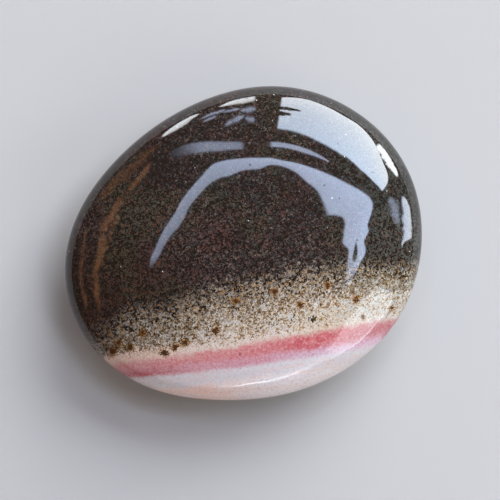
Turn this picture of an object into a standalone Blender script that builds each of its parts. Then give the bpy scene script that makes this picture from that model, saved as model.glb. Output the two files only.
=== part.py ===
"""A polished sardonyx palm stone: one solid, domed above and below, ground flat where it rests.

Run it with: blender --background --python part.py
Metres, +Z up. The origin is under the middle of the stone, on the surface that it rests on.
"""

import math

import bmesh
import bpy
from mathutils import Vector

# Driving dimensions
MEAN_RADIUS = 0.02926       # of the outline, seen from above
OVAL = 0.0883               # how much longer than wide, as a share of the mean radius
EGG = 0.0227                # how much one side is flatter than the other
EGG_TURN = math.radians(57.5)
SQUARENESS = 0.0056         # how far the four shoulders stand out
SQUARE_TURN = math.radians(-3.9)
CROWN_HEIGHT = 0.0093       # from the widest line up to the top
BELLY_DEPTH = 0.0091        # from the widest line down to where the belly would end uncut
FOOT_DEPTH = 0.0085         # from the widest line down to the ground foot
CROWN_FULLNESS = 2.06       # 2 is an ellipse, and more is a flatter top with a tighter rim
BELLY_FULLNESS = 2.10
CROWN_SHIFT = Vector((0.0019, 0.0002, 0.0))     # the top lies a little off the middle
HAND_WAVE = 0.0028          # slow unevenness left by polishing, as a share of the radius
GRID = 26                   # squares along each edge of the ball's six patches

STONE_NAME = "palm_stone"
STONE_COLOUR = (0.075, 0.058, 0.050, 1.0)
STONE_ROUGHNESS = 0.06


def clear_scene():
    for obj in list(bpy.data.objects):
        bpy.data.objects.remove(obj)


def outline_radius(turn):
    """Radius of the widest line at this angle about +Z."""
    return MEAN_RADIUS * (
        1
        + OVAL * math.cos(2 * turn)
        + EGG * math.cos(3 * (turn - EGG_TURN))
        + SQUARENESS * math.cos(4 * (turn - SQUARE_TURN))
    )


def hand_wave(turn, rise):
    """A few slow swells of the surface, none of them at the two poles."""
    level = 1 - rise * rise
    return HAND_WAVE * level * (
        math.cos(5 * turn + 0.7) * rise
        + 0.8 * math.cos(4 * turn - 1.9 + 2.2 * rise)
        + 0.6 * math.sin(7 * turn + 1.1 - 1.4 * rise) * level
    )


def stone_point(direction):
    """The point of the stone's skin that a point of the unit ball goes to."""
    turn = math.atan2(direction.y, direction.x)
    rise = max(-1.0, min(1.0, direction.z))
    spread = math.sqrt(1 - rise * rise)
    if rise >= 0:
        fullness, height = CROWN_FULLNESS, CROWN_HEIGHT
    else:
        fullness, height = BELLY_FULLNESS, -BELLY_DEPTH
    lift = abs(rise) ** (2 / fullness)
    reach = spread ** (2 / fullness) * outline_radius(turn) * (1 + hand_wave(turn, rise))
    middle = CROWN_SHIFT * (lift * lift if rise > 0 else 0.0)
    return middle + Vector((reach * math.cos(turn), reach * math.sin(turn), height * lift))


def unit_ball(bm):
    """A cube cut into a grid and blown up into a ball, so that no point of the skin is pinched."""
    bmesh.ops.create_cube(bm, size=2.0)
    bmesh.ops.subdivide_edges(bm, edges=bm.edges[:], cuts=GRID - 1, use_grid_fill=True)
    for vert in bm.verts:
        even = Vector([math.tan(axis * math.pi / 4) for axis in vert.co])
        vert.co = even.normalized()


def grind_foot(bm):
    """Takes off what reaches below the foot and closes the cut with one flat face."""
    everything = bm.verts[:] + bm.edges[:] + bm.faces[:]
    bmesh.ops.bisect_plane(
        bm,
        geom=everything,
        dist=1e-7,
        plane_co=(0, 0, -FOOT_DEPTH),
        plane_no=(0, 0, -1),
        clear_outer=True,
    )
    rim = [edge for edge in bm.edges if edge.is_boundary]
    bmesh.ops.contextual_create(bm, geom=rim)


def centre_on_foot(bm):
    """Puts the middle of the outline over the origin, and the foot on Z = 0."""
    xs = [vert.co.x for vert in bm.verts]
    ys = [vert.co.y for vert in bm.verts]
    middle = Vector(((min(xs) + max(xs)) / 2, (min(ys) + max(ys)) / 2, -FOOT_DEPTH))
    bmesh.ops.translate(bm, verts=bm.verts[:], vec=-middle)


def polished_stone():
    material = bpy.data.materials.new("polished_sardonyx")
    material.use_nodes = True
    shader = material.node_tree.nodes["Principled BSDF"]
    shader.inputs["Base Color"].default_value = STONE_COLOUR
    shader.inputs["Roughness"].default_value = STONE_ROUGHNESS
    shader.inputs["Metallic"].default_value = 0.0
    return material


def palm_stone(collection):
    bm = bmesh.new()
    unit_ball(bm)
    for vert in bm.verts:
        vert.co = stone_point(vert.co)
    grind_foot(bm)
    centre_on_foot(bm)
    bmesh.ops.recalc_face_normals(bm, faces=bm.faces[:])
    mesh = bpy.data.meshes.new(STONE_NAME)
    bm.to_mesh(mesh)
    bm.free()
    mesh.shade_smooth()
    mesh.set_sharp_from_angle(angle=math.radians(40))
    mesh.materials.append(polished_stone())
    stone = bpy.data.objects.new(STONE_NAME, mesh)
    collection.objects.link(stone)
    return stone


clear_scene()
stone_collection = bpy.data.collections.new("sardonyx_palm_stone")
bpy.context.scene.collection.children.link(stone_collection)
palm_stone(stone_collection)
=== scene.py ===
"""The looks of the sardonyx palm stone: its fine skin, its layered stone, the studio and the camera."""

import math
from collections import namedtuple

import bmesh
import bpy
from mathutils import Matrix, Vector


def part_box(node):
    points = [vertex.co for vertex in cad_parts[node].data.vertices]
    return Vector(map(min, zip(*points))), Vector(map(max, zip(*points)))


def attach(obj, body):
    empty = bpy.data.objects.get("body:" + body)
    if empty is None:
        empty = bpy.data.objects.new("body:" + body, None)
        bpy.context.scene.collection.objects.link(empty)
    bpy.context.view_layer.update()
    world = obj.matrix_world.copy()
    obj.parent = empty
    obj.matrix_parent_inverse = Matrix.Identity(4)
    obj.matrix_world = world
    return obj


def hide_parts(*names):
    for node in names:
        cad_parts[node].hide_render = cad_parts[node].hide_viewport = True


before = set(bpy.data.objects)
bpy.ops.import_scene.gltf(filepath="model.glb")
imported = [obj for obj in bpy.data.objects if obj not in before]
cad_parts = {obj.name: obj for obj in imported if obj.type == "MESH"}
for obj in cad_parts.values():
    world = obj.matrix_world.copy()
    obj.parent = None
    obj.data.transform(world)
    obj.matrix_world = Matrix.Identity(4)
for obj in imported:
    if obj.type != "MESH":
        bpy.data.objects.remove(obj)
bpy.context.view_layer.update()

MILLIMETRE = 0.001

# The stone's form, in metres, the same dimensions as its solid has
MEAN_RADIUS = 0.02926
OVAL = 0.0883
EGG, EGG_TURN = 0.0227, math.radians(57.5)
SQUARENESS, SQUARE_TURN = 0.0056, math.radians(-3.9)
CROWN_HEIGHT, CROWN_FULLNESS = 0.0093, 2.06
BELLY_DEPTH, BELLY_FULLNESS = 0.0091, 2.10
FOOT_DEPTH = 0.0085
FOOT_WEAR = 0.00011         # how softly the belly runs into the ground foot
CROWN_SHIFT = Vector((0.0019, 0.0002, 0.0))
HAND_WAVE = 0.0028
GRID = 96                   # squares along each edge of the ball's six patches

# How the stone lies in the picture
PICTURE_TURN = math.radians(22.1)       # from the picture's right-hand side round to the stone's +X
LAYER_TURN = math.radians(-15.5)        # from the stone's +X round to the way that the layers run

# The borders of the layers, in mm along them and across them
ROSE_FOOT, ROSE_FOOT_SLOPE, ROSE_FOOT_BEND = -20.87, 0.009, 0.0018
ROSE_HEAD, ROSE_HEAD_SLOPE = -17.25, 0.052
DARKENING = 11.5            # how far above the rose layer the stone has turned dark
FULL_CROWD = 1.16           # the darkness from which on the grains crowd no closer

# How many crystals, glints or pinholes lie along a millimetre
COARSE_CRYSTALS, FINE_CRYSTALS = 2.7, 5.2
GLINTS, PINHOLES = 0.36, 0.5

# The polish
POLISH, POLISH_SWING = 0.04, 0.02       # roughness, and how much it varies
REFRACTION = 1.54
PINHOLE_DEPTH, PINHOLE_STRENGTH = 0.00004, 0.25

# The camera, nearly straight above the stone
CAMERA_DISTANCE = 0.45
CAMERA_TILT = math.radians(3.0)
PICTURE_WIDTH = 0.08775                 # what the picture spans at the stone's widest line
AIM_RIGHT, AIM_UP = 0.00059, -0.00059   # from the middle of the oval to the middle of the picture
SENSOR = 36.0
NEAREST_SEEN = 0.01

# The studio
PANEL_DISTANCE = 2.5
BAR_DISTANCE = 2.4          # of the dark bars and thin lamps that hang in front of panels
FILL_DISTANCE = 2.7         # of the faint fill behind the other panels
PANEL_STEPS = 6             # faces of a panel between two of its rows
PANEL_SLICES = 8            # faces of a panel from its inner to its outer edge
FLOOR_HALF = 4.0
FLOOR_ROUGHNESS = 0.75
TATTER_STRETCH = (9.0, 2.2, 1.0)        # how often a panel's tattered edge swells along it and across it
TEAR_START, TEAR_END = -0.12, 0.10      # from fully torn away to whole, about the level of the gaps
END_SOFTNESS = 0.4                      # of a panel's ends, as a share of its edges' softness

# Sockets of a colour Mix node, several of which share a name
MIX_SHARE, MIX_FIRST, MIX_SECOND, MIX_RESULT = 0, 6, 7, 2


def outline_radius(turn):
    """Radius of the widest line at this angle about +Z."""
    return MEAN_RADIUS * (
        1
        + OVAL * math.cos(2 * turn)
        + EGG * math.cos(3 * (turn - EGG_TURN))
        + SQUARENESS * math.cos(4 * (turn - SQUARE_TURN))
    )


def hand_wave(turn, rise):
    """A few slow swells of the surface, none of them at the two poles."""
    level = 1 - rise * rise
    return HAND_WAVE * level * (
        math.cos(5 * turn + 0.7) * rise
        + 0.8 * math.cos(4 * turn - 1.9 + 2.2 * rise)
        + 0.6 * math.sin(7 * turn + 1.1 - 1.4 * rise) * level
    )


def worn_foot(height):
    """The height of a point of the belly once the foot is ground and its edge is worn round."""
    return FOOT_WEAR * math.log1p(math.exp((height + FOOT_DEPTH) / FOOT_WEAR)) - FOOT_DEPTH


def stone_point(direction):
    """The point of the stone's skin that a point of the unit ball goes to."""
    turn = math.atan2(direction.y, direction.x)
    rise = max(-1.0, min(1.0, direction.z))
    spread = math.sqrt(1 - rise * rise)
    if rise >= 0:
        fullness, height = CROWN_FULLNESS, CROWN_HEIGHT
    else:
        fullness, height = BELLY_FULLNESS, -BELLY_DEPTH
    lift = abs(rise) ** (2 / fullness)
    reach = spread ** (2 / fullness) * outline_radius(turn) * (1 + hand_wave(turn, rise))
    middle = CROWN_SHIFT * (lift * lift if rise > 0 else 0.0)
    level = height * lift if rise > 0 else worn_foot(height * lift)
    return middle + Vector((reach * math.cos(turn), reach * math.sin(turn), level))


def stone_skin():
    """The fine skin of the stone, fitted to the box of its solid, and where the middle of its oval lies."""
    bm = bmesh.new()
    bmesh.ops.create_cube(bm, size=2.0)
    bmesh.ops.subdivide_edges(bm, edges=bm.edges[:], cuts=GRID - 1, use_grid_fill=True)
    for vert in bm.verts:
        even = Vector([math.tan(axis * math.pi / 4) for axis in vert.co])
        vert.co = stone_point(even.normalized())
    low, high = (Vector(corner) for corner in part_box("palm_stone"))
    own_low = Vector([min(vert.co[axis] for vert in bm.verts) for axis in range(3)])
    own_high = Vector([max(vert.co[axis] for vert in bm.verts) for axis in range(3)])
    size, own_size = high - low, own_high - own_low
    scale = Vector([size[axis] / own_size[axis] for axis in range(3)])
    for vert in bm.verts:
        vert.co = low + (vert.co - own_low) * scale
    oval_middle = low - own_low * scale
    for face in bm.faces:
        face.smooth = True
    bmesh.ops.recalc_face_normals(bm, faces=bm.faces[:])
    mesh = bpy.data.meshes.new("palm_stone_skin")
    bm.to_mesh(mesh)
    bm.free()
    return mesh, oval_middle


class Signal:
    """A shader socket that takes part in ordinary sums."""

    def __init__(self, finish, socket):
        self.finish = finish
        self.socket = socket

    def __add__(self, other):
        return self.finish.reckon("ADD", self, other)

    def __radd__(self, other):
        return self.finish.reckon("ADD", other, self)

    def __sub__(self, other):
        return self.finish.reckon("SUBTRACT", self, other)

    def __rsub__(self, other):
        return self.finish.reckon("SUBTRACT", other, self)

    def __mul__(self, other):
        return self.finish.reckon("MULTIPLY", self, other)

    def __rmul__(self, other):
        return self.finish.reckon("MULTIPLY", other, self)

    def sibling(self, output):
        """Another output of the same node."""
        return Signal(self.finish, self.socket.node.outputs[output])


class Finish:
    """A material, filled in one node at a time."""

    def __init__(self, name):
        self.material = bpy.data.materials.new(name)
        self.material.use_nodes = True
        self.tree = self.material.node_tree
        self.tree.nodes.clear()

    def node(self, kind, settings=None, sockets=None, output=0):
        """Adds a node: its settings first, then values or links for its sockets."""
        made = self.tree.nodes.new("ShaderNode" + kind)
        for name, value in (settings or {}).items():
            setattr(made, name, value)
        for name, value in (sockets or {}).items():
            if isinstance(value, Signal):
                self.tree.links.new(value.socket, made.inputs[name])
            else:
                made.inputs[name].default_value = value
        return Signal(self, made.outputs[output])

    def reckon(self, operation, first, second):
        return self.node("Math", {"operation": operation}, {0: first, 1: second})

    def rise(self, value, start, end, low=0.0, high=1.0):
        """Goes smoothly from low to high as the value goes from start to end."""
        return self.node(
            "MapRange",
            {"interpolation_type": "SMOOTHSTEP"},
            {"Value": value, "From Min": start, "From Max": end, "To Min": low, "To Max": high},
        )

    def hump(self, value, middle, reach):
        """1 where the value is at the middle, falling smoothly to 0 as far as the reach on either side."""
        off = self.node("Math", {"operation": "ABSOLUTE"}, {0: value - middle})
        return self.rise(off, reach, 0.0)

    def noise(self, place, scale, detail=2.0, roughness=0.5):
        """Cloudy noise about 0, with scale in swells to the unit of the place."""
        clouds = self.node(
            "TexNoise",
            {"noise_dimensions": "3D"},
            {"Vector": place, "Scale": scale, "Detail": detail, "Roughness": roughness},
        )
        return clouds - 0.5

    def cells(self, place, scale):
        """How far the nearest cell's middle lies, in cell widths, in a mosaic of scale cells to the mm."""
        return self.node(
            "TexVoronoi",
            {"feature": "F1", "voronoi_dimensions": "3D"},
            {"Vector": place, "Scale": scale, "Randomness": 1.0},
        )

    def crystals(self, place, scale):
        """Three random values about 0 for each crystal of a mosaic, with scale in crystals to the mm."""
        mosaic = self.cells(place, scale).sibling("Color")
        first = self.node("SeparateColor", None, {0: mosaic})
        return [first.sibling(output) - 0.5 for output in range(3)]

    def moved(self, place, x, y, z):
        """The same place seen from elsewhere, so that two noises don't match."""
        return self.node("VectorMath", {"operation": "ADD"}, {0: place, 1: (x, y, z)})

    def stretched(self, place, stretch):
        """The place with each of its axes times a number of its own."""
        return self.node("VectorMath", {"operation": "MULTIPLY"}, {0: place, 1: stretch})

    def stirred(self, place, scale, amount):
        """The place pushed about by a small swirling noise, which makes straight edges ragged."""
        swells = {"Vector": place, "Scale": scale}
        swirl = self.node("TexNoise", {"noise_dimensions": "3D"}, swells, "Color")
        push = self.node("VectorMath", {"operation": "SUBTRACT"}, {0: swirl, 1: (0.5, 0.5, 0.5)})
        push = self.node("VectorMath", {"operation": "SCALE"}, {0: push, "Scale": amount})
        return self.node("VectorMath", {"operation": "ADD"}, {0: place, 1: push})

    def blend(self, share, first, second):
        """A colour that is the first at share 0 and the second at share 1."""
        sockets = {MIX_SHARE: share, MIX_FIRST: first, MIX_SECOND: second}
        return self.node("Mix", {"data_type": "RGBA"}, sockets, MIX_RESULT)

    def shade(self, share, colour, veil):
        """The colour times another one, by the share given."""
        sockets = {MIX_SHARE: share, MIX_FIRST: colour, MIX_SECOND: veil}
        return self.node("Mix", {"data_type": "RGBA", "blend_type": "MULTIPLY"}, sockets, MIX_RESULT)

    def axes(self, place):
        """The first two numbers of a place."""
        first = self.node("SeparateXYZ", None, {0: place})
        return first, first.sibling(1)

    def surface(self, shader):
        output = self.tree.nodes.new("ShaderNodeOutputMaterial")
        self.tree.links.new(shader.socket, output.inputs["Surface"])
        return self.material


def tone(red, green, blue):
    return (red, green, blue, 1.0)


# Colours of the stone between its dark grains, from the cream edge up into the dark stone, and two painted
# reflections
CREAM = tone(0.589, 0.470, 0.370)
BLUSH_CREAM = tone(0.644, 0.442, 0.331)
YELLOW_SAND = tone(0.460, 0.357, 0.226)
SAND = tone(0.488, 0.418, 0.331)
TAN = tone(0.313, 0.252, 0.179)
DUN = tone(0.190, 0.145, 0.104)
UMBER = tone(0.0305, 0.0240, 0.0218)
AUBURN = tone(0.033, 0.0160, 0.0108)
# Maroon and olive are painted reflections of the surroundings in the dark polish
MAROON_REFLECTION = tone(0.066, 0.025, 0.021)
OLIVE_REFLECTION = tone(0.040, 0.040, 0.020)
GREEN_BLACK = tone(0.062, 0.061, 0.045)

# Colours of the grains, the glints and the blots
GOLD = tone(0.30, 0.140, 0.026)
SLATE_BLUE = tone(0.21, 0.22, 0.23)
RED_BROWN = tone(0.095, 0.034, 0.020)
GREEN_GREY = tone(0.042, 0.042, 0.035)
OCHRE_GRAIN = tone(0.18, 0.077, 0.010)
BROWN_GRAIN = tone(0.058, 0.033, 0.016)
BARK_GRAIN = tone(0.038, 0.019, 0.005)
BLACK_GRAIN = tone(0.006, 0.0038, 0.0026)
GLINT = tone(0.65, 0.60, 0.55)
BLOT_BROWN = tone(0.038, 0.012, 0.004)
RUSTY_HALO = tone(0.27, 0.105, 0.014)

# Colours of the rose layer and the white one
SALMON = tone(0.479, 0.152, 0.140)
ROSE = tone(0.484, 0.218, 0.235)
BLOOD = tone(0.381, 0.057, 0.059)
PALE_ROSE = tone(0.512, 0.427, 0.456)
RUST = tone(0.20, 0.022, 0.022)
BLUE_WHITE = tone(0.573, 0.503, 0.470)
WARM_WHITE = tone(0.714, 0.608, 0.553)
PEACH = tone(0.733, 0.446, 0.335)
LILAC_WHITE = tone(0.564, 0.518, 0.514)
ROSY_DUST = tone(0.564, 0.351, 0.310)

# Veils, by which other colours are multiplied; the cool, rose and white ones lay painted shade on the
# stone's right end
SHADOW = tone(0.60, 0.60, 0.60)
PALE_SHADOW = tone(0.86, 0.83, 0.82)
NIGHT_VEIL = tone(0.68, 0.72, 0.74)
# Painted shade, with a cooler tint, over the speckled stone's right end
COOL_TINT_AND_PAINTED_SHADE = tone(0.83, 0.89, 0.91)
# Painted shade, with a mauver tint, over the rose layer's right end
ROSE_PAINTED_SHADE = tone(0.76, 0.86, 0.90)
# Painted shade over the white layer's right end
WHITE_PAINTED_SHADE = tone(0.91, 0.92, 0.91)

# Single dark spots: where each lies along the layers and across them, and its radius, in mm
BROWN_BLOTS = (
    (-25.2, -15.6, 0.5), (-22.1, -15.4, 0.4), (-16.3, -17.0, 0.5), (-14.3, -16.2, 0.4),
    (-12.5, -15.7, 0.35), (-7.1, -14.2, 0.45), (3.8, -8.6, 0.4), (13.1, -8.8, 0.35),
    (17.7, -11.7, 0.35), (18.6, -14.6, 0.25), (23.9, -13.7, 0.3), (-24.0, -14.2, 0.35),
    (-19.6, -13.0, 0.3), (-3.0, -9.6, 0.3), (8.1, -11.5, 0.3),
)
DARK_CLUSTERS = ((2.8, -14.35, 0.3), (6.3, -13.5, 0.35), (9.9, -14.1, 0.6), (-12.8, -15.3, 0.3))
RED_SPECKS = (
    (-3.3, -18.7, 0.1), (-12.1, -19.2, 0.12), (-15.3, -19.5, 0.1), (0.1, -18.2, 0.05), (9.2, -20.1, 0.1),
)
FAR_OFF = 100.0             # further than any spot is from any place on the stone

Grains = namedtuple("Grains", "grit hue light speckle clump")


def polished_sardonyx(oval_middle):
    """Dark speckled stone that thins out into cream, then a rose and a white layer, under a high polish."""
    finish = Finish("polished_sardonyx")
    place = finish.node(
        "Mapping",
        {"vector_type": "TEXTURE"},
        {
            "Vector": finish.node("TexCoord", output="Object"),
            "Location": oval_middle,
            "Rotation": (0, 0, LAYER_TURN),
            "Scale": (MILLIMETRE, MILLIMETRE, MILLIMETRE),
        },
    )
    along, across = finish.axes(place)
    over_foot, over_head = over_rose_borders(finish, place, along, across)

    colour = speckled_stone(finish, place, along, over_head)
    colour = rose_layer(finish, place, along, over_foot, over_head, colour)
    colour = white_layer(finish, place, along, over_foot, colour)

    shine = finish.noise(finish.moved(place, 2, 40, 9), 1.1, 3.0)
    whole = 1 - pinholes(finish, place)
    dents = {"Strength": PINHOLE_STRENGTH, "Distance": PINHOLE_DEPTH, "Height": whole}
    shader = finish.node(
        "BsdfPrincipled",
        None,
        {
            "Base Color": colour,
            "Roughness": POLISH + shine * POLISH_SWING,
            "Metallic": 0.0,
            "IOR": REFRACTION,
            "Normal": finish.node("Bump", None, dents),
        },
    )
    return finish.surface(shader)


def over_rose_borders(finish, place, along, across):
    """How far the place is above the foot of the rose layer, and above its head, in mm."""
    drift = finish.noise(place, 0.07)
    ripple = finish.noise(finish.moved(place, 31, 5, 2), 0.45)
    foot = ROSE_FOOT + along * along * ROSE_FOOT_BEND + along * ROSE_FOOT_SLOPE
    foot = foot + drift * 0.6 + ripple * 0.15 + finish.rise(along, -9.0, -16.0, 0.0, -0.35)
    head = ROSE_HEAD + along * ROSE_HEAD_SLOPE
    head = head + drift + ripple * 0.9 + finish.rise(along, -15.0, -23.0, 0.0, 0.6)
    return across - foot, across - head


def nearest_spot(finish, place, spots):
    """How far the place is outside the nearest of some ragged spots, in mm."""
    ragged = finish.noise(finish.moved(place, 8, 8, 61), 1.8) * 0.9
    flat = finish.stretched(place, (1, 1, 0))
    nearest = FAR_OFF
    for along, across, radius in spots:
        sockets = {0: flat, 1: (along, across, 0)}
        away = finish.node("VectorMath", {"operation": "DISTANCE"}, sockets, "Value")
        nearest = finish.reckon("MINIMUM", nearest, away - radius)
    return nearest + ragged


def speckled_stone(finish, place, along, height):
    """Grains that crowd together over about 12 mm, from none at the cream edge to nearly black stone."""
    grains = crystal_grains(finish, place)
    swell = finish.noise(finish.moved(place, 7, 3, 11), 0.10, 1.0)
    cluster = finish.noise(finish.moved(place, 3, 17, 4), 0.50, 2.0, 0.6)
    depth = layer_depth(finish, along, height) + swell * 0.2
    crowd = finish.reckon("MINIMUM", depth, FULL_CROWD) + cluster * 0.36 + grains.clump * 0.12
    deep = finish.rise(depth, 0.78, 1.1)
    over_gap = height - finish.rise(along, -20.0, 9.0, 1.2, 0.3)
    thin = finish.rise(over_gap, 1.0, -0.9, 0.0, 0.42)

    colour = pale_to_umber(finish, along, height, over_gap, crowd + grains.light * 0.42)
    colour = dark_tints(finish, place, along, height, deep, colour)
    colour = tinted_grains(finish, grains, deep, thin, colour)
    colour = uneven_shade(finish, grains, along, height, crowd, colour)
    colour = dark_grains(finish, place, grains, crowd, deep, thin, colour)
    colour = brown_blots(finish, place, grains, colour)
    # Painted glints: tiny bright points laid into the dark stone's colour
    return finish.blend(glints(finish, place) * finish.rise(depth, 0.5, 0.9), colour, GLINT)


def crystal_grains(finish, place):
    """Coarse and fine crystals: how dark and how light each is, its hue, and the noises that stir them."""
    speckle = finish.noise(finish.moved(place, 1, 1, 25), 4.2, 1.0)
    clump = finish.noise(finish.moved(place, 12, 31, 2), 1.3, 1.0)
    loose = finish.stirred(place, 3.0, 0.09)
    coarse, coarse_hue, coarse_light = finish.crystals(loose, COARSE_CRYSTALS)
    fine, fine_hue, fine_light = finish.crystals(finish.moved(loose, 4, 4, 4), FINE_CRYSTALS)
    return Grains(
        grit=coarse * 0.45 + fine * 0.42 + speckle * 0.45 + clump * 0.45,
        hue=coarse_hue * 0.6 + fine_hue * 0.7,
        light=coarse_light * 0.5 + fine_light * 0.6,
        speckle=speckle,
        clump=clump,
    )


def layer_depth(finish, along, height):
    """How far the stone has darkened: 0 at the cream edge, and 1 where it is dark all over."""
    left = finish.rise(along, -20.0, 0.0, 0.28, 0.0) + finish.rise(along, -26.0, -21.0, 0.24, 0.0)
    left = left * finish.rise(height, 0.5, 2.6) * finish.rise(height, 3.0, 12.0, 1.0, 0.35)
    right = finish.rise(along, 8.0, 18.0, 0.0, -0.33) * finish.rise(height, 3.8, 5.8, 1.0, 0.0)
    rim = finish.rise(along, 17.0, 27.5, 0.0, 0.5) * finish.rise(height, 1.5, 6.5, 1.0, 0.21)
    return height * (1 / DARKENING) + left + right + rim


def pale_to_umber(finish, along, height, over_gap, patch):
    """What lies between the grains: cream and sand low down, then tan and dun, and umber in the dark."""
    pale = finish.blend(finish.rise(along, -8.0, -22.0), CREAM, BLUSH_CREAM)
    ground = finish.blend(finish.rise(over_gap, 0.0, 2.5), pale, SAND)
    yellow = finish.hump(along, 12.0, 9.0) * finish.rise(height, 5.0, 2.5)
    ground = finish.blend(yellow * 0.4, ground, YELLOW_SAND)
    ground = finish.blend(finish.rise(patch, 0.28, 0.72), ground, TAN)
    ground = finish.blend(finish.rise(patch, 0.50, 0.94), ground, DUN)
    return finish.blend(finish.rise(patch, 0.76, 1.15), ground, UMBER)


def dark_tints(finish, place, along, height, deep, ground):
    """The dark stone's tints, auburn at its left and green at its right, and painted reflections in clouds
    of maroon and olive.
    """
    ruddy = finish.rise(along, -6.0, -20.0) * finish.rise(height, 15.0, 25.0, 1.0, 0.4)
    maroon_reflection = finish.rise(finish.noise(finish.moved(place, 44, 2, 8), 0.12, 3.0), 0.02, 0.16)
    olive_reflection = finish.rise(finish.noise(finish.moved(place, 6, 50, 3), 0.11, 3.0), -0.04, 0.12)
    ground = finish.blend(ruddy * deep, ground, AUBURN)
    # Painted reflections of the surroundings: maroon and olive clouds in the dark stone's colour
    ground = finish.blend(maroon_reflection * deep * 0.45, ground, MAROON_REFLECTION)
    ground = finish.blend(olive_reflection * deep * 0.5, ground, OLIVE_REFLECTION)
    return finish.blend(finish.rise(along, 13.0, 24.0) * deep * 0.75, ground, GREEN_BLACK)


def tinted_grains(finish, grains, deep, thin, ground):
    """Gold and slate-blue grains in the pale stone, red-brown and green-grey ones in the dark stone."""
    warm = finish.blend(deep, GOLD, RED_BROWN)
    cool = finish.blend(deep, SLATE_BLUE, GREEN_GREY)
    ground = finish.blend(finish.rise(grains.hue, 0.06, 0.40) * (0.74 - thin), ground, warm)
    return finish.blend(finish.rise(grains.hue, -0.12, -0.45) * (0.45 - thin), ground, cool)


def uneven_shade(finish, grains, along, height, crowd, ground):
    """Some grains darker than others, painted shade with a cooler tint at the stone's right, and the stone
    darker at its top and in two clouds.
    """
    uneven = finish.rise(grains.light, -0.32, 0.36) * finish.rise(crowd, 0.1, 0.8, 0.3, 1.0)
    clouds = finish.hump(along, 12.0, 7.0) * finish.hump(height, 21.0, 5.5)
    clouds = clouds + finish.hump(along, -13.5, 6.0) * finish.hump(height, 35.0, 6.0)
    ground = finish.shade(uneven, ground, SHADOW)
    # Painted shade at the right end, where the light falls off, with a greyer, cooler tint of the stone
    ground = finish.shade(finish.rise(along, 11.0, 21.0), ground, COOL_TINT_AND_PAINTED_SHADE)
    ground = finish.shade(finish.rise(height + along * 0.25, 22.5, 27.0), ground, NIGHT_VEIL)
    return finish.shade(clouds, ground, NIGHT_VEIL)


def dark_grains(finish, place, grains, crowd, deep, thin, ground):
    """The dark grains themselves: brown ones, black ones over them, and a few close clusters low down."""
    stain = finish.noise(finish.moved(place, 60, 6, 2), 0.55, 2.0, 0.6)
    cluster = finish.rise(nearest_spot(finish, place, DARK_CLUSTERS), 0.8, -0.3, 0.0, 0.5)
    brown_bar = finish.rise(crowd, -0.2, 0.65, 0.18, 0.0) + thin
    black_bar = finish.rise(crowd, 0.0, 1.2, 0.43, -0.03) + thin - cluster
    brown = finish.rise(grains.grit - brown_bar + stain * 0.35, -0.02, 0.08) * (1 - deep * 0.6) * 0.9
    black = finish.rise(grains.grit - black_bar, -0.03, 0.11) * (1 - deep * 0.10)
    brown_tone = finish.blend(finish.rise(crowd + grains.hue * 0.5, 0.15, 0.8), OCHRE_GRAIN, BROWN_GRAIN)
    black_tone = finish.blend(finish.rise(crowd, 0.45, 0.95), BARK_GRAIN, BLACK_GRAIN)
    return finish.blend(black, finish.blend(brown, ground, brown_tone), black_tone)


def brown_blots(finish, place, grains, colour):
    """Single brown blots, each in a rusty halo."""
    blot = nearest_spot(finish, place, BROWN_BLOTS)
    colour = finish.blend(finish.rise(blot + grains.speckle * 1.4, 0.42, 0.1) * 0.7, colour, RUSTY_HALO)
    return finish.blend(finish.rise(blot + grains.speckle * 1.2, 0.2, 0.0) * 0.95, colour, BLOT_BROWN)


def glints(finish, place):
    """Tiny bright points, scattered far apart: painted glints, where a grain's flat face would catch the
    light.
    """
    return finish.rise(finish.cells(finish.moved(place, 3, 3, 33), GLINTS), 0.042, 0.02)


def pinholes(finish, place):
    """A few pinholes that the polish left open."""
    return finish.rise(finish.cells(place, PINHOLES), 0.10, 0.04)


def rose_layer(finish, place, along, over_foot, over_head, colour):
    """Salmon at its soft upper edge, mauve rose at its sharper lower one, red patches and specks, and
    painted shade at the right.
    """
    mottle = finish.noise(finish.moved(place, 9, 21, 5), 0.5, 3.0, 0.6)
    dust = finish.noise(finish.moved(place, 15, 2, 7), 2.6, 2.0, 0.6)
    upper = finish.rise(over_foot + mottle * 1.6, 0.6, 2.4)
    layer = finish.blend(upper, ROSE, SALMON)
    layer = finish.blend(finish.rise(along, -2.0, -12.0) * 0.1, layer, PEACH)
    pale = finish.rise(along, -2.0, 12.0) * finish.rise(over_foot + mottle, 2.2, 0.2)
    layer = finish.blend(pale * 0.6, layer, PALE_ROSE)
    flush = finish.hump(along, 9.5, 10.5) * 1.1 + finish.hump(along, 26.5, 7.0) * 1.5
    flush = flush * finish.rise(mottle, -0.16, 0.06) * upper
    red_foot = finish.hump(along, -21.0, 11.0) * finish.rise(over_foot, 2.2, 0.3)
    layer = finish.blend(flush * 0.85, layer, BLOOD)
    layer = finish.blend(red_foot * 0.85, layer, BLOOD)
    # Painted shade: the upper rose darker and mauver towards the right end, where the light falls off
    layer = finish.shade(finish.rise(along, 10.0, 21.0) * upper, layer, ROSE_PAINTED_SHADE)
    layer = finish.blend(finish.rise(dust, -0.05, 0.22) * 0.26, layer, BLUE_WHITE)
    layer = finish.blend(finish.rise(dust, -0.02, -0.20) * 0.42, layer, BLOOD)
    specks = finish.rise(nearest_spot(finish, place, RED_SPECKS), 0.2, -0.1)
    layer = finish.blend(specks * 0.8, layer, RUST)
    inside = finish.rise(over_head + mottle * 1.2 + dust, 0.9, -0.6)
    return finish.blend(inside, colour, layer)


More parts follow.
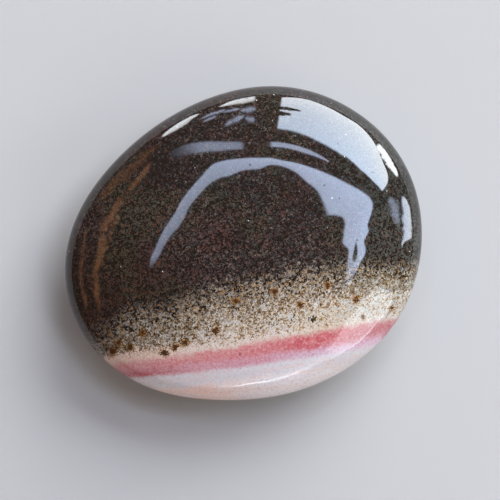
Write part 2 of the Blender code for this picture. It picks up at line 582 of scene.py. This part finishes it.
def white_layer(finish, place, along, over_foot, colour):
    """Bluish white under the rose, warmer and faintly peach further down, fine rosy dust all over, and
    painted shade at the right.
    """
    mottle = finish.noise(finish.moved(place, 19, 9, 2), 0.35, 3.0)
    dust = finish.noise(finish.moved(place, 4, 28, 7), 2.4, 2.0, 0.6)
    ash = finish.noise(finish.moved(place, 41, 8, 3), 3.4, 1.0)
    streak = finish.noise(finish.stretched(place, (0.12, 1.0, 1.0)), 0.9, 3.0, 0.6)
    wavy = over_foot + mottle * 2.0
    layer = finish.blend(finish.rise(wavy, -1.2, -3.2), BLUE_WHITE, WARM_WHITE)
    warm = finish.rise(along + mottle * 12, 2.0, -12.0) * finish.rise(wavy, -1.6, -3.0)
    layer = finish.blend(warm * 0.8, layer, PEACH)
    layer = finish.blend(finish.rise(streak, 0.0, 0.2) * 0.4, layer, PEACH)
    layer = finish.blend(finish.rise(streak, -0.04, -0.2) * 0.5, layer, LILAC_WHITE)
    layer = finish.blend(finish.rise(dust, 0.0, 0.2) * 0.55, layer, ROSY_DUST)
    layer = finish.shade(finish.rise(ash, 0.0, 0.25), layer, PALE_SHADOW)
    # Painted shade: the white layer a little darker towards the right end
    layer = finish.shade(finish.rise(along, 4.0, 14.0), layer, WHITE_PAINTED_SHADE)
    inside = finish.rise(over_foot + dust * 0.9 + mottle * 0.4, 0.5, -0.45)
    return finish.blend(inside, colour, layer)


def palm_stone():
    mesh, oval_middle = stone_skin()
    mesh.materials.append(polished_sardonyx(oval_middle))
    stone = bpy.data.objects.new("palm_stone_polished", mesh)
    bpy.context.scene.collection.objects.link(stone)
    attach(stone, "root")
    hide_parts("palm_stone")
    return oval_middle


def sky_direction(azimuth, zenith):
    """A direction as the picture sees it: azimuth from its right-hand side, zenith from straight up."""
    turn = math.radians(azimuth) - PICTURE_TURN
    tip = math.radians(zenith)
    return Vector((math.sin(tip) * math.cos(turn), math.sin(tip) * math.sin(turn), math.cos(tip)))


def eased(rows, share):
    """A row of numbers between the rows given, on a smooth curve through them."""
    last = len(rows) - 1
    place = share * last
    index = min(int(place), last - 1)
    step = place - index
    before, start, end, after = (rows[max(0, min(last, index + shift))] for shift in (-1, 0, 1, 2))
    return [
        b + 0.5 * step * (c - a + step * (2 * a - 5 * b + 4 * c - d + step * (3 * (b - c) + d - a)))
        for a, b, c, d in zip(before, start, end, after)
    ]


def glow(name, inner_colour, outer_colour, strength, softness, shift,
         fade=0.0, start=0.0, tail=0.0, ragged=0.0, gaps=0.0):
    """Light of a panel, one colour at its inner edge and another at its outer edge, fading out all round.

    Softness, fade and tail are the shares of the panel that fade: at its two edges, at its first row and at
    its last one. Start is how bright the fading end already is. Ragged is how far the edges are tattered,
    and gaps the level of the noise under which the panel is torn away.
    """
    finish = Finish(name)
    uv = finish.node("UVMap", {"uv_map": "panel"})
    along, across = finish.axes(uv)
    if ragged or gaps:
        long_swells = finish.stretched(uv, TATTER_STRETCH)
        tatters = finish.noise(finish.moved(long_swells, shift, 0, 0), 1.0, 3.0, 0.6)
        across = across + tatters * ragged
    inner = finish.node("Emission", None, {"Color": inner_colour, "Strength": strength})
    outer = finish.node("Emission", None, {"Color": outer_colour, "Strength": strength})
    light = finish.node("MixShader", None, {0: across, 1: inner, 2: outer})
    end = softness * END_SOFTNESS
    border = (
        finish.rise(across, 0.0, softness)
        * finish.rise(across, 1.0, 1.0 - softness)
        * finish.rise(along, 0.0, max(end, fade), start, 1.0)
        * finish.rise(along, 1.0, 1.0 - max(end, tail))
    )
    if start:
        border = border * finish.rise(along, 0.0, end)
    if gaps:
        border = border * finish.rise(tatters, gaps + TEAR_START, gaps + TEAR_END)
    clear = finish.node("BsdfTransparent")
    return finish.surface(finish.node("MixShader", None, {0: border, 1: clear, 2: light}))


def panel_mesh(name, rows, distance):
    """A curved sheet in the sky. Each row is an azimuth and its two edges' zeniths, in degrees."""
    steps = PANEL_STEPS * (len(rows) - 1)
    bm = bmesh.new()
    grid = []
    for i in range(steps + 1):
        azimuth, inner, outer = eased(rows, i / steps)
        column = []
        for j in range(PANEL_SLICES + 1):
            zenith = inner + (outer - inner) * j / PANEL_SLICES
            column.append(bm.verts.new(sky_direction(azimuth, zenith) * distance))
        grid.append(column)
    uv = bm.loops.layers.uv.new("panel")
    for i in range(steps):
        for j in range(PANEL_SLICES):
            corners = ((i, j), (i + 1, j), (i + 1, j + 1), (i, j + 1))
            face = bm.faces.new([grid[a][b] for a, b in corners])
            for loop, (a, b) in zip(face.loops, corners):
                loop[uv].uv = (a / steps, b / PANEL_SLICES)
    mesh = bpy.data.meshes.new(name)
    bm.to_mesh(mesh)
    bm.free()
    return mesh


def light_panel(name, rows, inner_colour, outer_colour, strength, softness,
                distance=PANEL_DISTANCE, **border):
    """A curved panel of light, far above the stone, which the camera doesn't see."""
    mesh = panel_mesh(name, rows, distance)
    mesh.materials.append(glow(name, inner_colour, outer_colour, strength, softness, rows[0][0], **border))
    panel = bpy.data.objects.new(name, mesh)
    panel.visible_camera = False
    bpy.context.scene.collection.objects.link(panel)


# Colours of the studio: its light, its floor and what is left between the panels
DAYLIGHT = tone(0.70, 0.85, 1.08)
CLOUD = tone(0.80, 0.85, 0.90)
SHADED_CLOUD = tone(0.72, 0.79, 0.84)
HAZE = tone(0.92, 0.97, 1.03)
DUSK = tone(0.64, 0.76, 1.04)
DIM_DUSK = tone(0.48, 0.57, 0.78)
FAINT = tone(0.22, 0.25, 0.30)
AMBER = tone(0.95, 0.42, 0.18)
PEWTER = tone(0.45, 0.45, 0.44)
UNLIT = tone(0.0, 0.0, 0.0)
ROOM_DUSK = tone(0.110, 0.080, 0.068)
FLOOR_DARKER = tone(0.33, 0.302, 0.268)
FLOOR_LIGHTER = tone(0.35, 0.321, 0.286)


def studio_lights():
    window_lights()
    overhead_lights()
    rim_lights()
    right_edge_lights()
    low_lights()
    warm_cards()


def window_lights():
    """The tall softbox, with two dark bars in front of its left end."""
    light_panel(
        "tall_softbox",
        [(85, 41, 82), (77, 40.5, 88), (70, 40, 88), (62, 39.5, 85), (54, 39.5, 86), (47, 41, 80),
         (42, 41.5, 73), (36, 43, 66), (31, 45, 63), (27.5, 47, 58), (25, 48, 49)],
        DAYLIGHT, HAZE, 16.5, 0.04, fade=0.65, start=0.78, ragged=0.05,
    )
    light_panel(
        "bar_high",
        [(87, 59, 64.5), (82, 59, 64.5), (76, 60.5, 63)],
        UNLIT, UNLIT, 1.0, 0.2, BAR_DISTANCE, ragged=0.5,
    )
    light_panel(
        "bar_low",
        [(87, 52, 58), (84, 52, 58), (79.5, 53.5, 56.5)],
        UNLIT, UNLIT, 1.0, 0.2, BAR_DISTANCE, ragged=0.5,
    )


def overhead_lights():
    """The long arc overhead, running out in two drips at its lower end, and two fainter arcs behind it."""
    light_panel(
        "overhead_arc",
        [(185, 22, 22.6), (176, 20.2, 22.5), (168, 19.7, 22), (160, 19.4, 22.2), (150, 19, 22.7),
         (141, 19.8, 23.5), (135, 21.3, 25.2), (128, 22.6, 27), (122, 23.8, 28.9), (117, 23.8, 30.8),
         (112, 22.9, 30), (104, 23, 28.3), (93, 22.3, 26.9), (86, 23.6, 26.6), (78, 23.6, 26),
         (68, 22.7, 26.4), (58, 21.2, 27.3), (48, 20.7, 29), (38, 19.3, 32), (31, 18.5, 35.5),
         (27.5, 18.2, 37.5), (24, 20.5, 39), (20.5, 22.6, 39), (16, 23, 36.4), (11, 22.3, 33.5),
         (7, 21.9, 33.6), (2, 21.7, 31.2), (-3, 24, 32.3), (-7, 24.5, 32.2), (-11, 24.8, 31),
         (-17, 25.8, 30.2), (-22, 26.6, 30), (-28, 27.5, 29.6), (-35, 29, 29.8)],
        DIM_DUSK, DUSK, 14.1, 0.09, fade=0.6, start=0.40, tail=0.17, ragged=0.06,
    )
    light_panel(
        "bar_drip",
        [(2, 27, 27.4), (-4, 26.3, 28.5), (-9, 26.4, 28.8), (-11.5, 27.3, 28)],
        UNLIT, UNLIT, 1.0, 0.25, BAR_DISTANCE,
    )
    light_panel(
        "second_arc_left",
        [(127, 46, 54), (121, 40, 51), (117, 37, 46.5), (110, 33.4, 40), (100.5, 31, 35.5)],
        DUSK, DUSK, 5.7, 0.25, fade=0.5, ragged=0.2,
    )
    light_panel(
        "second_arc_right",
        [(88, 31, 34.2), (77, 31.2, 34), (68, 31.2, 34), (60, 32, 33.8), (54, 32.8, 33.4)],
        DUSK, DUSK, 9.0, 0.2,
    )


def rim_lights():
    """Strips and flecks low in the sky, which show as bright lines and flecks along the stone's far rim."""
    light_panel(
        "rim_strip_left",
        [(124.5, 75, 79), (122.5, 72, 84), (119, 70.5, 87), (116, 76, 87), (113.5, 81, 83)],
        PEWTER, HAZE, 16.0, 0.3, ragged=0.35,
    )
    light_panel(
        "rim_strip_top",
        [(108, 78.5, 80.5), (103.4, 73, 87), (99, 70.5, 88), (94.4, 73, 88)],
        PEWTER, HAZE, 16.0, 0.3, ragged=0.3,
    )
    flecks = (
        (114.5, 70.5, 105.5, 69.5, 4.4), (107.5, 66.5, 100.5, 65.0, 3.4), (114.0, 64.0, 109.5, 64.5, 3.4),
        (108.0, 50.5, 99.0, 55.0, 4.6), (101.0, 62.0, 94.2, 61.0, 6.0), (99.5, 52.0, 95.0, 49.0, 4.4),
    )
    for count, (start, start_tip, end, end_tip, half) in enumerate(flecks):
        middle, middle_tip = (start + end) / 2, (start_tip + end_tip) / 2
        rows = [
            (start, start_tip - half * 0.3, start_tip + half * 0.3),
            (middle, middle_tip - half, middle_tip + half),
            (end, end_tip - half * 0.5, end_tip + half * 0.5),
        ]
        light_panel("rim_fleck_%d" % count, rows, DUSK, DUSK, 6.5, 0.5, ragged=0.9)


def right_edge_lights():
    """Ragged strips low at the right, which show as bright marks along that edge."""
    light_panel(
        "right_edge_high",
        [(44, 72, 88), (40, 69, 88), (36.5, 67, 87), (32, 68, 85), (27, 75, 81)],
        HAZE, HAZE, 20.0, 0.25, ragged=0.7,
    )
    light_panel(
        "right_edge_low",
        [(19, 69, 75), (16, 65.5, 82), (12, 63, 86), (6, 62, 86), (1.5, 62, 85), (-0.5, 62, 67),
         (-3, 62.5, 64)],
        DUSK, HAZE, 12.5, 0.25, ragged=0.5,
    )
    light_panel(
        "right_edge_soft",
        [(21, 49, 56), (17, 48, 63), (12, 49, 63), (7, 53, 60)],
        DUSK, DUSK, 5.5, 0.45, ragged=0.6,
    )


def low_lights():
    """The sheens over the stone's lower right and its bottom, a thin line in each, and a faint fill."""
    light_panel(
        "low_right_sheen",
        [(-66, 56, 65), (-60, 53, 67), (-57, 51, 69), (-53, 48.3, 70), (-49, 45.5, 72.5), (-45, 41.5, 73.5),
         (-41, 40.3, 73.5), (-36, 39.6, 73), (-31.5, 39.8, 76), (-28, 40.5, 79), (-24, 42, 75),
         (-20.5, 46, 62)],
        CLOUD, SHADED_CLOUD, 4.6, 0.14, fade=0.3, ragged=0.05,
    )
    light_panel(
        "low_sheen",
        [(-95, 66, 80), (-86, 60, 70.5), (-77, 57, 67.5), (-69, 55.5, 65.5), (-60, 53, 65)],
        FAINT, HAZE, 2.6, 0.12,
    )
    light_panel(
        "bottom_line",
        [(-91, 74, 78), (-86, 68.5, 71.5), (-80, 67, 70), (-73, 64.5, 66.5), (-68, 64, 65)],
        HAZE, HAZE, 12.0, 0.45, BAR_DISTANCE,
    )
    light_panel(
        "right_line",
        [(-60, 64.5, 68), (-56.5, 65.5, 69.8), (-52, 66.4, 71), (-48, 69, 73.6), (-41.5, 69.8, 74.4),
         (-35, 69.6, 73.5), (-31.5, 73.5, 77), (-28, 76.5, 79.5)],
        HAZE, HAZE, 8.0, 0.5, BAR_DISTANCE, fade=0.5,
    )
    light_panel(
        "front_fill",
        [(-135, 60, 80), (-100, 52, 84), (-60, 52, 84)],
        HAZE, HAZE, 0.7, 0.4, FILL_DISTANCE,
    )


def warm_cards():
    """Amber cards at the left, which show as brown streaks along that edge."""
    light_panel(
        "warm_card_high",
        [(125, 63, 70), (129, 58, 79), (134, 55, 87), (139, 56, 88), (144, 62, 88), (149, 70, 84)],
        AMBER, AMBER, 1.15, 0.45, ragged=0.6, gaps=-0.05,
    )
    light_panel(
        "warm_card_spot",
        [(130, 54, 58), (134, 49, 57), (139, 47, 55), (142, 48, 52)],
        AMBER, AMBER, 2.1, 0.5, ragged=0.6,
    )
    light_panel(
        "warm_card_long",
        [(140, 51, 55), (145, 48, 56), (151, 42, 56), (157, 41.5, 57.5), (164, 41, 53), (172, 41, 50),
         (180, 42, 52), (188, 43, 55), (197, 44, 54), (207, 51, 59)],
        AMBER, AMBER, 1.95, 0.45, ragged=0.7, gaps=-0.06,
    )
    light_panel(
        "warm_card_edge",
        [(159, 68, 74), (162, 65, 75), (169, 60, 71), (177, 61, 72), (186, 61, 72), (194, 60, 71),
         (203, 66, 75)],
        AMBER, AMBER, 1.3, 0.45, ragged=0.7, gaps=-0.03,
    )


def studio_floor():
    """A plain pale floor with the faintest clouding."""
    finish = Finish("pale_floor")
    cloud = finish.noise(finish.node("TexCoord", output="Object"), 9.0, 3.0)
    colour = finish.blend(0.5 + cloud, FLOOR_DARKER, FLOOR_LIGHTER)
    shader = finish.node("BsdfPrincipled", None, {"Base Color": colour, "Roughness": FLOOR_ROUGHNESS})
    finish.surface(shader)
    bm = bmesh.new()
    bmesh.ops.create_grid(bm, x_segments=2, y_segments=2, size=FLOOR_HALF)
    mesh = bpy.data.meshes.new("floor")
    bm.to_mesh(mesh)
    bm.free()
    mesh.materials.append(finish.material)
    floor = bpy.data.objects.new("floor", mesh)
    bpy.context.scene.collection.objects.link(floor)


def dim_room():
    """What little light there is between the panels."""
    world = bpy.data.worlds.new("dim_room")
    world.use_nodes = True
    background = world.node_tree.nodes["Background"]
    background.inputs["Color"].default_value = ROOM_DUSK
    background.inputs["Strength"].default_value = 1.0
    bpy.context.scene.world = world
    bpy.context.scene.view_settings.view_transform = "Standard"


def picture_camera(oval_middle):
    """Looks down on the stone from just off the vertical, on the side of the picture's lower edge."""
    right = Matrix.Rotation(-PICTURE_TURN, 3, "Z") @ Vector((1, 0, 0))
    up_flat = Matrix.Rotation(-PICTURE_TURN, 3, "Z") @ Vector((0, 1, 0))
    back = up_flat * -math.sin(CAMERA_TILT) + Vector((0, 0, 1)) * math.cos(CAMERA_TILT)
    up = back.cross(right)
    aim = oval_middle + right * AIM_RIGHT + up_flat * AIM_UP
    camera_data = bpy.data.cameras.new("picture_camera")
    camera_data.sensor_width = SENSOR
    camera_data.lens = SENSOR * CAMERA_DISTANCE / PICTURE_WIDTH
    camera_data.clip_start = NEAREST_SEEN
    camera = bpy.data.objects.new("picture_camera", camera_data)
    camera.matrix_world = Matrix((
        (right.x, up.x, back.x, aim.x + back.x * CAMERA_DISTANCE),
        (right.y, up.y, back.y, aim.y + back.y * CAMERA_DISTANCE),
        (right.z, up.z, back.z, aim.z + back.z * CAMERA_DISTANCE),
        (0, 0, 0, 1),
    ))
    bpy.context.scene.collection.objects.link(camera)
    bpy.context.scene.camera = camera


oval_middle = palm_stone()
studio_lights()
studio_floor()
dim_room()
picture_camera(oval_middle)
